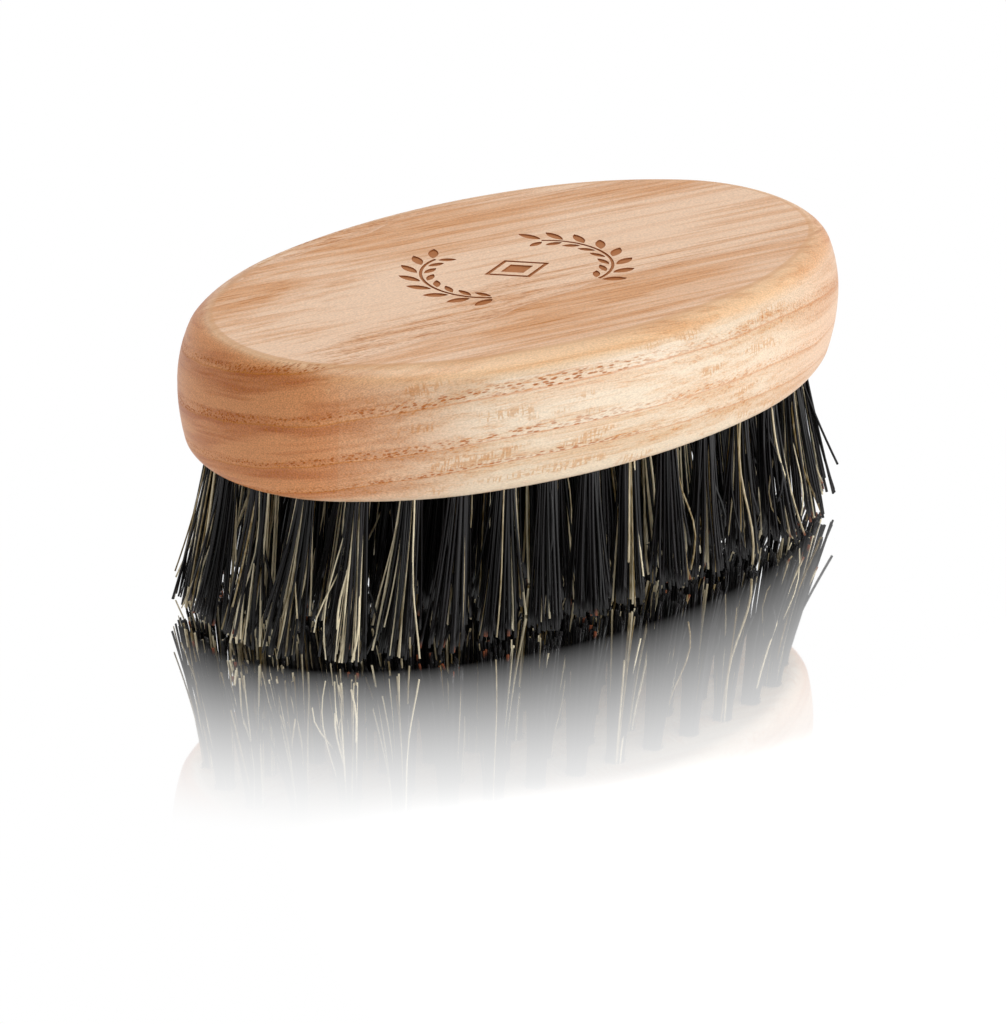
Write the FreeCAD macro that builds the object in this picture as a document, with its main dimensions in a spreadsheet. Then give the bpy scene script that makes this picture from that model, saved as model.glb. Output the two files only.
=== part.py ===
import FreeCAD, Part
import math
import os

import Sketcher
from FreeCAD import Placement, Rotation, Vector

# A palm-held beard brush. An oval wooden body, with no handle, is drilled from below with rings of blind
# holes. Each hole holds one tuft of bristle, folded over a flat wire anchor that is driven across the
# bottom of the hole. The body is +X along its length, +Z up, and the longest bristles end on z = 0.
# Lengths are in millimetres and angles in degrees.

DRIVING_SIZES = (
    ("body_length", 105.0, "oval body, end to end at its widest level"),
    ("body_width", 59.7, "oval body, side to side at its widest level"),
    ("body_thickness", 19.2, "underside to top face"),
    ("end_radius", 21.9, "plan radius of the two ends"),
    ("shoulder_radius", 53.6, "plan radius between an end and a long side"),
    ("side_radius", 99.7, "plan radius of the two long sides"),
    ("widest_height", 9.8, "height of the widest level above the underside"),
    ("upper_bulge", 19.0, "radius of the barrelled side above its widest level"),
    ("lower_bulge", 30.2, "radius of the barrelled side below its widest level"),
    ("shaping_overrun", 1.0, "how far the side's shaping cut runs past the blank"),
    ("top_edge_radius", 3.7, "rounding of the top edge"),
    ("bottom_edge_radius", 2.7, "rounding of the bottom edge"),
    ("bristle_length", 24.2, "underside of the body to the longest tips"),
    ("ring_half_length", 46.3, "outer ring of holes, along the body"),
    ("ring_half_width", 21.0, "outer ring of holes, across the body"),
    ("ring_squareness", 2.6, "exponent of the rings' curve: 2 is an ellipse"),
    ("ring_spacing", 7.0, "from one ring of holes to the next, and along the centre row"),
    ("hole_diameter", 3.0, "drilled hole"),
    ("hole_depth", 9.0, "drilled hole, to its full diameter"),
    ("tuft_clearance", 0.1, "radial gap between a tuft and its hole"),
    ("tuft_tip_radius", 2.8, "radius of a tuft where it is trimmed"),
    ("splay_along", 1.08, "tip position over hole position, along the body"),
    ("splay_across", 1.05, "tip position over hole position, across the body"),
    ("flat_half_length", 26.7, "half length of the flat middle of the trim"),
    ("flat_half_width", 17.0, "half width of the flat middle of the trim"),
    ("trim_rise", 0.5, "how fast the trim curves up outside its flat middle"),
    ("anchor_length", 3.8, "flat wire anchor, across the hole and into both walls"),
    ("anchor_thickness", 0.4, "flat wire anchor"),
    ("anchor_height", 1.6, "flat wire anchor, along the hole"),
    ("anchor_cover", 0.7, "bristle between the anchor and the bottom of the hole"),
    ("anchor_gap", 0.05, "gap all round an anchor"),
    ("ornament_depth", 0.2, "burnt-in ornament, below the top face"),
    ("ornament_turn", -9.0, "ornament, about the vertical axis"),
    ("branch_offset", 5.6, "wreath branch, centre of its arc from the ornament's middle"),
    ("branch_radius", 8.4, "wreath branch, radius of its arc"),
    ("branch_reach", 70.0, "wreath branch, how far its arc runs either way"),
    ("stem_width", 0.45, "wreath branch, burnt line"),
    ("outer_leaf_length", 3.6, "one leaf on the outside of its stem"),
    ("inner_leaf_length", 2.6, "one leaf on the inside of its stem"),
    ("leaf_slenderness", 2.5, "length of a leaf over its width"),
    ("leaf_spread", 38.0, "one leaf, away from its stem"),
    ("leaf_stand_off", 0.5, "one leaf, its root clear of its stem's middle"),
    ("heart_length", 10.4, "diamond in the middle of the wreath, along the body"),
    ("heart_width", 7.0, "diamond in the middle of the wreath, across the body"),
)

# Tufts in each ring, from the outside in. Every ring has the same number in each quarter.
RING_COUNTS = {"outer": 32, "second": 24, "third": 20}
CENTRE_ROW_COUNT = 8

LEAF_PAIRS = 8

# The wreath's diamond is nested outlines at these scales: a burnt ring, plain wood, and a burnt heart.
DIAMOND_SCALES = (1.0, 0.82, 0.5)

# Points on a quarter of a ring's curve when its length is measured.
CURVE_STEPS = 2000

# Two heights count as the same when they are this close, and a cut has to remove more than this.
SAME_HEIGHT = 1e-4
LEAST_CUT = 1e-3

# Shaping the side leaves at least this much of the blank.
LEAST_KEPT = 0.8

doc = FreeCAD.newDocument("BeardBrush")


# --- driving sizes ---------------------------------------------------------------------------------------

def make_size_sheet():
    sheet = doc.addObject("Spreadsheet::Sheet", "Sizes")
    for row, (alias, value, meaning) in enumerate(DRIVING_SIZES, start=1):
        sheet.set(f"A{row}", alias)
        sheet.set(f"B{row}", str(value))
        sheet.set(f"C{row}", meaning)
        sheet.setAlias(f"B{row}", alias)
    doc.recompute()
    return sheet


sizes = make_size_sheet()


def size(alias):
    """The value of one driving size, for the geometry that is worked out here in code."""
    return float(sizes.get(alias))


# --- where the tufts go ----------------------------------------------------------------------------------

def ring_curve(half_length, half_width, turn):
    """A point on the superellipse that a ring of holes follows."""
    power = 2.0 / size("ring_squareness")
    along = math.copysign(abs(math.cos(turn)) ** power, math.cos(turn))
    across = math.copysign(abs(math.sin(turn)) ** power, math.sin(turn))
    return Vector(half_length * along, half_width * across, 0)


def quarter_places(half_length, half_width, count):
    """Evenly spaced places from the +X axis to the +Y axis, half a pitch clear of both."""
    steps = range(CURVE_STEPS + 1)
    curve = [ring_curve(half_length, half_width, math.pi / 2 * step / CURVE_STEPS) for step in steps]
    travelled = [0.0]
    for start, end in zip(curve, curve[1:]):
        travelled.append(travelled[-1] + start.distanceToPoint(end))
    pitch = travelled[-1] / count
    places = []
    for index in range(count):
        wanted = (index + 0.5) * pitch
        nearest = min(steps, key=lambda step: abs(travelled[step] - wanted))
        places.append(curve[nearest])
    return places


def ring_places(inset, count):
    """All the places of one ring, counter-clockwise from the +X end."""
    quarter = quarter_places(size("ring_half_length") - inset, size("ring_half_width") - inset, count // 4)
    places = list(quarter)
    places += [Vector(-place.x, place.y, 0) for place in reversed(quarter)]
    places += [Vector(-place.x, -place.y, 0) for place in quarter]
    places += [Vector(place.x, -place.y, 0) for place in reversed(quarter)]
    return places


def centre_row_places():
    pitch = size("ring_spacing")
    first = -pitch * (CENTRE_ROW_COUNT - 1) / 2
    return [Vector(first + pitch * index, 0, 0) for index in range(CENTRE_ROW_COUNT)]


tuft_places = {
    ring: ring_places(size("ring_spacing") * index, count)
    for index, (ring, count) in enumerate(RING_COUNTS.items())
}
tuft_places["centre"] = centre_row_places()
all_places = [place for places in tuft_places.values() for place in places]


# --- wooden body -----------------------------------------------------------------------------------------

# How a sketch's constraints name the points of a line or arc, and the sketch's own origin.
START, END, CENTRE = 1, 2, 3
ORIGIN = (-1, 1)


def origin_plane(body, role):
    return next(feature for feature in body.Origin.OriginFeatures if feature.Role == role)


def new_sketch(body, name, role="XY_Plane"):
    sketch = body.newObject("Sketcher::SketchObject", name)
    sketch.AttachmentSupport = [(origin_plane(body, role), "")]
    sketch.MapMode = "FlatFace"
    return sketch


def constrain(sketch, kind, *where, bound_to=None):
    """Add a constraint, and drive it from the sheet when a formula is given."""
    index = sketch.addConstraint(Sketcher.Constraint(kind, *where))
    if bound_to:
        sketch.setExpression(f"Constraints[{index}]", bound_to)


def oval_corner():
    """The oval's arcs from the +X axis to the +Y axis: centre, radius, and the turns they run between."""
    end_centre = Vector(size("body_length") / 2 - size("end_radius"), 0, 0)
    side_centre = Vector(0, size("body_width") / 2 - size("side_radius"), 0)
    # The shoulder is tangent to both, so its centre is known by its distance from each of their centres.
    to_end = size("shoulder_radius") - size("end_radius")
    to_side = size("side_radius") - size("shoulder_radius")
    link = side_centre - end_centre
    along = (to_end ** 2 - to_side ** 2 + link.Length ** 2) / (2 * link.Length)
    off = math.sqrt(to_end ** 2 - along ** 2)
    link.normalize()
    shoulder_centre = end_centre + link * along + Vector(link.y, -link.x, 0) * off
    end_turn = math.atan2(end_centre.y - shoulder_centre.y, end_centre.x - shoulder_centre.x)
    side_turn = math.atan2(shoulder_centre.y - side_centre.y, shoulder_centre.x - side_centre.x)
    return {
        "end": (end_centre, size("end_radius"), -end_turn, end_turn),
        "shoulder": (shoulder_centre, size("shoulder_radius"), end_turn, side_turn),
        "side": (side_centre, size("side_radius"), side_turn, math.pi - side_turn),
    }


def mirrored_arc(arc, flip_x, flip_y):
    centre, radius, start, end = arc
    if flip_x:
        centre = Vector(-centre.x, centre.y, 0)
        start, end = math.pi - end, math.pi - start
    if flip_y:
        centre = Vector(centre.x, -centre.y, 0)
        start, end = -end, -start
    return centre, radius, start, end


def draw_oval(sketch):
    """Eight tangent arcs, counter-clockwise from the +X end."""
    corner = oval_corner()
    arcs = (
        ("end", mirrored_arc(corner["end"], False, False)),
        ("shoulder", mirrored_arc(corner["shoulder"], False, False)),
        ("side", mirrored_arc(corner["side"], False, False)),
        ("shoulder", mirrored_arc(corner["shoulder"], True, False)),
        ("end", mirrored_arc(corner["end"], True, False)),
        ("shoulder", mirrored_arc(corner["shoulder"], True, True)),
        ("side", mirrored_arc(corner["side"], False, True)),
        ("shoulder", mirrored_arc(corner["shoulder"], False, True)),
    )
    for _, (centre, radius, start, end) in arcs:
        circle = Part.Circle(centre, Vector(0, 0, 1), radius)
        sketch.addGeometry(Part.ArcOfCircle(circle, start, end))
    for index, (name, (centre, radius, _, _)) in enumerate(arcs):
        constrain(sketch, "Tangent", index, END, (index + 1) % len(arcs), START)
        constrain(sketch, "Radius", index, radius, bound_to=f"Sizes.{name}_radius")
        if name == "end":
            sign = "" if centre.x > 0 else "-"
            formula = f"{sign}(Sizes.body_length / 2 - Sizes.end_radius)"
            constrain(sketch, "DistanceX", *ORIGIN, index, CENTRE, centre.x, bound_to=formula)
            constrain(sketch, "DistanceY", *ORIGIN, index, CENTRE, 0.0)
        if name == "side":
            sign = "" if centre.y > 0 else "-"
            formula = f"{sign}(Sizes.side_radius - Sizes.body_width / 2)"
            constrain(sketch, "DistanceX", *ORIGIN, index, CENTRE, 0.0)
            constrain(sketch, "DistanceY", *ORIGIN, index, CENTRE, centre.y, bound_to=formula)


def draw_side_waste(sketch):
    """What lies outside the barrelled side, at the +X end: two bulge arcs closed by a square corner."""
    reach = size("body_length") / 2
    overrun = size("shaping_overrun")
    outside = reach + overrun
    level = size("widest_height")
    top = size("body_thickness") + overrun
    bottom = -overrun

    def bulge(radius, start, end):
        circle = Part.Circle(Vector(reach - radius, level, 0), Vector(0, 0, 1), radius)
        return Part.ArcOfCircle(circle, start, end)

    lower_turn = math.asin((level - bottom) / size("lower_bulge"))
    upper_turn = math.asin((top - level) / size("upper_bulge"))
    low_start = reach - size("lower_bulge") * (1 - math.cos(lower_turn))
    high_end = reach - size("upper_bulge") * (1 - math.cos(upper_turn))
    lower = sketch.addGeometry(bulge(size("lower_bulge"), -lower_turn, 0))
    upper = sketch.addGeometry(bulge(size("upper_bulge"), 0, upper_turn))
    roof = sketch.addGeometry(Part.LineSegment(Vector(high_end, top, 0), Vector(outside, top, 0)))
    wall = sketch.addGeometry(Part.LineSegment(Vector(outside, top, 0), Vector(outside, bottom, 0)))
    floor = sketch.addGeometry(Part.LineSegment(Vector(outside, bottom, 0), Vector(low_start, bottom, 0)))

    chain = (lower, upper, roof, wall, floor)
    for this, after in zip(chain, chain[1:] + chain[:1]):
        constrain(sketch, "Coincident", this, END, after, START)
    constrain(sketch, "Horizontal", roof)
    constrain(sketch, "Vertical", wall)
    constrain(sketch, "Horizontal", floor)
    constrain(sketch, "Radius", lower, size("lower_bulge"), bound_to="Sizes.lower_bulge")
    constrain(sketch, "Radius", upper, size("upper_bulge"), bound_to="Sizes.upper_bulge")
    constrain(sketch, "DistanceY", *ORIGIN, lower, CENTRE, level, bound_to="Sizes.widest_height")
    constrain(sketch, "DistanceY", *ORIGIN, upper, CENTRE, level, bound_to="Sizes.widest_height")
    constrain(sketch, "DistanceY", *ORIGIN, lower, END, level, bound_to="Sizes.widest_height")
    constrain(sketch, "DistanceX", *ORIGIN, lower, END, reach, bound_to="Sizes.body_length / 2")
    constrain(sketch, "DistanceY", *ORIGIN, lower, START, bottom, bound_to="-Sizes.shaping_overrun")
    over_top = "Sizes.body_thickness + Sizes.shaping_overrun"
    constrain(sketch, "DistanceY", *ORIGIN, upper, END, top, bound_to=over_top)
    beyond_end = "Sizes.body_length / 2 + Sizes.shaping_overrun"
    constrain(sketch, "DistanceX", *ORIGIN, wall, START, outside, bound_to=beyond_end)


def edges_at_level(shape, level):
    """Names of the edges that lie flat at one height."""
    names = []
    for index, edge in enumerate(shape.Edges, start=1):
        box = edge.BoundBox
        if abs(box.ZMin - level) < SAME_HEIGHT and abs(box.ZMax - level) < SAME_HEIGHT:
            names.append(f"Edge{index}")
    return names


def add_edge_rounding(body, name, level, alias):
    """Round the edges of the body's latest feature that lie at one height."""
    base = body.Tip
    rounding = body.newObject("PartDesign::Fillet", name)
    rounding.Base = (base, edges_at_level(base.Shape, level))
    rounding.setExpression("Radius", f"Sizes.{alias}")
    doc.recompute()


def add_pocket(body, name, sketch, depth_formula, upwards):
    """Cut a sketch into the body, and make sure that it did cut."""
    before = body.Shape.Volume
    pocket = body.newObject("PartDesign::Pocket", name)
    pocket.Profile = sketch
    pocket.Reversed = upwards
    pocket.setExpression("Length", depth_formula)
    doc.recompute()
    if before - body.Shape.Volume < LEAST_CUT:
        raise RuntimeError(f"{name} removed nothing")


def add_holes(body):
    """Blind drilled holes, all from the underside."""
    sketch = new_sketch(body, "HoleCentres")
    radius = size("hole_diameter") / 2
    for place in all_places:
        sketch.addGeometry(Part.Circle(place, Vector(0, 0, 1), radius))
    doc.recompute()
    before = body.Shape.Volume
    holes = body.newObject("PartDesign::Hole", "TuftHoles")
    holes.Profile = sketch
    doc.recompute()
    holes.DepthType = "Dimension"
    holes.DrillPoint = "Angled"
    holes.Reversed = True
    holes.setExpression("Diameter", "Sizes.hole_diameter")
    holes.setExpression("Depth", "Sizes.hole_depth")
    doc.recompute()
    bored = math.pi * radius ** 2 * size("hole_depth") * len(all_places)
    if before - body.Shape.Volume < bored - LEAST_CUT:
        raise RuntimeError("the tuft holes are not bored to their full depth")


def draw_closed(sketch, corners):
    for start, end in zip(corners, corners[1:] + corners[:1]):
        sketch.addGeometry(Part.LineSegment(start, end))


def add_anchor_slits(body):
    """The slits that the anchors score in the walls as they are driven in."""
    sketch = new_sketch(body, "AnchorSlits")
    half_long = size("anchor_length") / 2 + size("anchor_gap")
    half_thick = size("anchor_thickness") / 2 + size("anchor_gap")
    for place in all_places:
        corners = [
            place + Vector(along * half_long, across * half_thick, 0)
            for along, across in ((-1, -1), (1, -1), (1, 1), (-1, 1))
        ]
        draw_closed(sketch, corners)
    depth = "Sizes.hole_depth - Sizes.anchor_cover + Sizes.anchor_gap"
    add_pocket(body, "ScoredSlits", sketch, depth, upwards=True)


def draw_leaf(sketch, root, forward, length):
    """A pointed leaf: two arcs from its root to its tip."""
    sideways = Vector(-forward.y, forward.x, 0) * (length / size("leaf_slenderness") / 2)
    tip = root + forward * length
    middle = (root + tip) * 0.5
    sketch.addGeometry(Part.Arc(root, middle + sideways, tip))
    sketch.addGeometry(Part.Arc(tip, middle - sideways, root))


def draw_wreath_branch(sketch, side):
    """One branch of the wreath: a stem on a circular arc, with a pair of leaves at each even step."""
    centre = Vector(side * size("branch_offset"), 0, 0)
    radius = size("branch_radius")
    reach = math.radians(size("branch_reach"))
    spread = math.radians(size("leaf_spread"))

    def outward(turn):
        return Vector(side * math.cos(turn), math.sin(turn), 0)

    for index in range(LEAF_PAIRS):
        turn = reach * (2 * index / (LEAF_PAIRS - 1) - 1)
        ahead = Vector(-side * math.sin(turn), math.cos(turn), 0)
        for away, length_name in ((1, "outer_leaf_length"), (-1, "inner_leaf_length")):
            root = centre + outward(turn) * (radius + away * size("leaf_stand_off"))
            forward = ahead * math.cos(spread) + outward(turn) * (away * math.sin(spread))
            draw_leaf(sketch, root, forward, size(length_name))

    half_stem = size("stem_width") / 2
    middle_turn = 0.0 if side > 0 else math.pi
    for edge_radius in (radius - half_stem, radius + half_stem):
        circle = Part.Circle(centre, Vector(0, 0, 1), edge_radius)
        sketch.addGeometry(Part.ArcOfCircle(circle, middle_turn - reach, middle_turn + reach))
    for turn in (-reach, reach):
        inner = centre + outward(turn) * (radius - half_stem)
        outer = centre + outward(turn) * (radius + half_stem)
        sketch.addGeometry(Part.LineSegment(inner, outer))


def draw_diamond(sketch, scale):
    """The wreath's diamond, at a scale of its full size."""
    half_length = size("heart_length") / 2 * scale
    half_width = size("heart_width") / 2 * scale
    draw_closed(sketch, [
        Vector(half_length, 0, 0),
        Vector(0, half_width, 0),
        Vector(-half_length, 0, 0),
        Vector(0, -half_width, 0),
    ])


def add_ornament(body):
    """A plain wreath of leaves round a diamond, burnt a little way into the top."""
    sketch = new_sketch(body, "Ornament")
    sketch.AttachmentOffset = Placement(Vector(), Rotation(Vector(0, 0, 1), size("ornament_turn")))
    sketch.setExpression("AttachmentOffset.Base.z", "Sizes.body_thickness")
    for side in (-1, 1):
        draw_wreath_branch(sketch, side)
    for scale in DIAMOND_SCALES:
        draw_diamond(sketch, scale)
    doc.recompute()
    add_pocket(body, "BurntOrnament", sketch, "Sizes.ornament_depth", upwards=False)


def make_wood_body():
    body = doc.addObject("PartDesign::Body", "WoodBody")
    body.Label = "wood_body"

    outline = new_sketch(body, "Outline")
    draw_oval(outline)
    blank = body.newObject("PartDesign::Pad", "Blank")
    blank.Profile = outline
    blank.setExpression("Length", "Sizes.body_thickness")
    doc.recompute()

    side_waste = new_sketch(body, "SideWaste", "XZ_Plane")
    draw_side_waste(side_waste)
    shaping = body.newObject("PartDesign::SubtractivePipe", "BarrelledSide")
    shaping.Profile = side_waste
    shaping.Spine = outline
    doc.recompute()
    if not LEAST_KEPT < shaping.Shape.Volume / blank.Shape.Volume < 1:
        raise RuntimeError("the side was not shaped")

    add_edge_rounding(body, "TopEdge", size("body_thickness"), "top_edge_radius")
    add_edge_rounding(body, "BottomEdge", 0.0, "bottom_edge_radius")
    add_holes(body)
    add_anchor_slits(body)
    add_ornament(body)

    body.setExpression("Placement.Base.z", "Sizes.bristle_length")
    return body


# --- tufts and anchors -----------------------------------------------------------------------------------

# Height of an anchor's lower edge.
ANCHOR_LEVEL = "Sizes.bristle_length + Sizes.hole_depth - Sizes.anchor_cover - Sizes.anchor_height"


def trim_height(tip):
    """Height of the trimmed tips above the ground: flat in the middle, curving up towards the rim."""
    spread = (tip.x / size("flat_half_length")) ** 2 + (tip.y / size("flat_half_width")) ** 2
    return size("trim_rise") * max(0.0, spread - 1.0)


def make_section(name, radius_formula):
    circle = doc.addObject("Part::Circle", name)
    circle.setExpression("Radius", radius_formula)
    return circle


def make_tuft(name, place):
    """A tuft as one soft solid: straight inside its hole, then flaring and leaning out to the trim."""
    packed_radius = "Sizes.hole_diameter / 2 - Sizes.tuft_clearance"
    fold = make_section(f"{name}_fold", packed_radius)
    mouth = make_section(f"{name}_mouth", packed_radius)
    trim = make_section(f"{name}_trim", "Sizes.tuft_tip_radius")
    tip = Vector(place.x * size("splay_along"), place.y * size("splay_across"), 0)
    fold.Placement.Base = place
    mouth.Placement.Base = place
    trim.Placement.Base = Vector(0, 0, trim_height(tip))
    trim.setExpression("Placement.Base.x", f"{mouth.Name}.Placement.Base.x * Sizes.splay_along")
    trim.setExpression("Placement.Base.y", f"{mouth.Name}.Placement.Base.y * Sizes.splay_across")
    mouth.setExpression("Placement.Base.z", "Sizes.bristle_length")
    fold.setExpression("Placement.Base.z", "Sizes.bristle_length + Sizes.hole_depth - Sizes.tuft_clearance")

    bundle = doc.addObject("Part::Loft", f"{name}_bundle")
    bundle.Sections = [trim, mouth, fold]
    bundle.Solid = True
    bundle.Ruled = True

    fold_room = doc.addObject("Part::Box", f"{name}_fold_room")
    fold_room.setExpression("Length", "Sizes.anchor_length + 2 * Sizes.anchor_gap")
    fold_room.setExpression("Width", "Sizes.anchor_thickness + 2 * Sizes.anchor_gap")
    fold_room.setExpression("Height", "Sizes.anchor_height + 2 * Sizes.anchor_gap")
    for axis, extent in (("x", "Length"), ("y", "Width")):
        middle = f"{mouth.Name}.Placement.Base.{axis} - {fold_room.Name}.{extent} / 2"
        fold_room.setExpression(f"Placement.Base.{axis}", middle)
    fold_room.setExpression("Placement.Base.z", f"{ANCHOR_LEVEL} - Sizes.anchor_gap")

    tuft = doc.addObject("Part::Cut", name)
    tuft.Base = bundle
    tuft.Tool = fold_room
    tuft.Label = name
    return tuft


def make_anchor(name, place):
    anchor = doc.addObject("Part::Box", name)
    anchor.setExpression("Length", "Sizes.anchor_length")
    anchor.setExpression("Width", "Sizes.anchor_thickness")
    anchor.setExpression("Height", "Sizes.anchor_height")
    corner = place - Vector(size("anchor_length") / 2, size("anchor_thickness") / 2, 0)
    anchor.Placement.Base = corner
    anchor.setExpression("Placement.Base.z", ANCHOR_LEVEL)
    return anchor


def make_group(label, pieces):
    """Identical pieces in one node, each still a solid of its own."""
    group = doc.addObject("Part::Compound", label)
    group.Links = pieces
    group.Label = label
    return group


def make_tufts():
    nodes = []
    for ring in ("outer", "second"):
        for number, place in enumerate(tuft_places[ring], start=1):
            nodes.append(make_tuft(f"{ring}_tuft_{number:02d}", place))
    third = [make_tuft(f"third_{number}", place) for number, place in enumerate(tuft_places["third"])]
    centre = [make_tuft(f"centre_{number}", place) for number, place in enumerate(tuft_places["centre"])]
    nodes.append(make_group("third_ring_tufts", third))
    nodes.append(make_group("centre_row_tufts", centre))
    return nodes


def make_anchors():
    anchors = [make_anchor(f"anchor_{number}", place) for number, place in enumerate(all_places)]
    return make_group("tuft_anchors", anchors)


# --- build, check and write ------------------------------------------------------------------------------

def check_document(nodes):
    for item in doc.Objects:
        if {"Invalid", "Error"} & set(item.State):
            raise RuntimeError(f"{item.Label} failed to build: {item.State}")
    for node in nodes:
        if node.Shape.isNull() or not node.Shape.isValid():
            raise RuntimeError(f"{node.Label} has no valid shape")


def main():
    nodes = [make_wood_body()] + make_tufts() + [make_anchors()]
    doc.recompute()
    check_document(nodes)
    os.makedirs("parts", exist_ok=True)
    for node in nodes:
        node.Shape.exportStep(f"parts/{node.Label}.step")
    print(f"{len(nodes)} nodes, {sum(len(node.Shape.Solids) for node in nodes)} solids")


main()
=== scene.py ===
import math

import bpy
import numpy as np
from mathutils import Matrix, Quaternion, Vector


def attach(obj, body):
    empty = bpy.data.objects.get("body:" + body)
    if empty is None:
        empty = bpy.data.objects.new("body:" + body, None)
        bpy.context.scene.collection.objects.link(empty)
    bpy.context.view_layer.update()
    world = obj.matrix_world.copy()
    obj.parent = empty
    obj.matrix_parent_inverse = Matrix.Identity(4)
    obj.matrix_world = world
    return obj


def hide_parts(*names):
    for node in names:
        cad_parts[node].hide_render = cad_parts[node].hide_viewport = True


# A palm-held beard brush, standing on its bristles on a white glossy floor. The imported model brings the
# wooden body and the wire anchors, which stay and get their materials here. Each tuft of bristle is built
# here, hair by hair, in place of its solid. Lengths are in millimetres and angles in degrees until they
# are handed to Blender, which works in metres and radians.

MM = 0.001

# A folded bristle has two legs. They fill the hole to this radius, pass the anchor's middle at this
# distance, and meet in a fold that rises this far above them.
HOLE_FILL_RADIUS = 1.22
ANCHOR_CLEARANCE = 0.50
FOLD_RISE = 0.55

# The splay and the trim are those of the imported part.
SPLAY = (1.08, 1.05)
TRIM_FLAT = (26.7, 17.0)
TRIM_RISE = 0.5

# Towards the two ends of the brush, tips are cut higher. The rise starts at the first of these distances
# from the middle, has reached this size at the second, and stops growing at this many times the way between.
END_REACH = (48.5, 53.0)
END_RISE = 3.0
END_LIMIT = 1.3

# How many bristles there are, how thick they are, how much of that is left at the thinnest tips, and how
# finely each bristle is drawn.
FOLDED_PER_TUFT = 20
DARK_THICK = (0.32, 0.47)
BLOND_THICK = (0.20, 0.36)
DARK_THINNEST_TIP = 0.75
BLOND_THINNEST_TIP = 0.55
TUBE_SIDES = 6
SHOWN_STEPS = 9
FOLD_STEPS = 4

# A tuft's bristles draw together into a few bundles on their way down. Their tips spread over this radius,
# and before the tuft leans, none is further than the reach from its middle.
BUNDLES_PER_TUFT = 4
BUNDLE_PULL = 0.30
TIP_SPREAD_RADIUS = 3.0
TIP_REACH = 3.6

# Disorder in the places and tips of bristles, in the lean of whole tufts, in the cut, and in bow and bend.
PLACE_DISORDER = 0.035
TIP_DISORDER = 0.38
TUFT_LEAN = 0.50
TUFT_LEAN_LIMIT = 0.7
CUT_DISORDER = 0.45
BOW = 0.26
BEND = (1.05, 1.45)

# Some bristles stray: they stand off further, and bow and sway more. Some are cut short. Straw-coloured
# ones stray more often by the extra chance, and stray ones are cut short more often by it.
STRAY_CHANCE = 0.08
STRAY_TIP = 1.4
STRAY_TIP_LIMIT = 1.3
STRAY_BOW = 1.2
STRAY_SWAY = 1.2
SHORT_CHANCE = 0.08
SHORT_BY = (1.0, 7.0)
EXTRA_CHANCE = 0.30

# The share of straw-coloured bristles at two places along the brush, and inside strands of their own. The
# strands' places and sizes are shares of the tuft's radius.
BLOND_SHARE = ((-45.0, -15.0), (0.36, 0.11))
STRAND_SHARE = 0.65
STRAND_PLACE = 0.9
STRAND_RADIUS = (0.15, 0.38)
MOST_STRANDS = 3

# Above 1, this makes more bristles dark in shade than pale. A few have rusty tips.
SHADE_POWER = 1.3
RUST_CHANCE = 0.045

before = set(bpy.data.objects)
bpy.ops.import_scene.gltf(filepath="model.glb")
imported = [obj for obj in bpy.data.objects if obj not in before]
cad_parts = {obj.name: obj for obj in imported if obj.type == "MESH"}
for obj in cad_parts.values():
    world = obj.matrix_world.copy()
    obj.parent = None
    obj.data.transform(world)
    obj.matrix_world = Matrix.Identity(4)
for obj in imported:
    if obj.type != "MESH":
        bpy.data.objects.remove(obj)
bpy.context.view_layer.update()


def levels(node):
    """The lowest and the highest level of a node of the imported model."""
    heights = [vertex.co.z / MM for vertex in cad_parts[node].data.vertices]
    return min(heights), max(heights)


# The holes open at the wood's underside. A bristle's legs end just below the top of its anchor.
MOUTH_LEVEL, WOOD_TOP = levels("wood_body")
ANCHOR_TOP = levels("tuft_anchors")[1]
LEG_TOP = ANCHOR_TOP - 0.1


# --- colours and nodes -----------------------------------------------------------------------------------

def colour(red, green, blue):
    """A linear colour from the usual 0 to 255 display values."""
    def linear(value):
        value /= 255
        return value / 12.92 if value <= 0.04045 else ((value + 0.055) / 1.055) ** 2.4
    return linear(red), linear(green), linear(blue), 1.0


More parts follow.
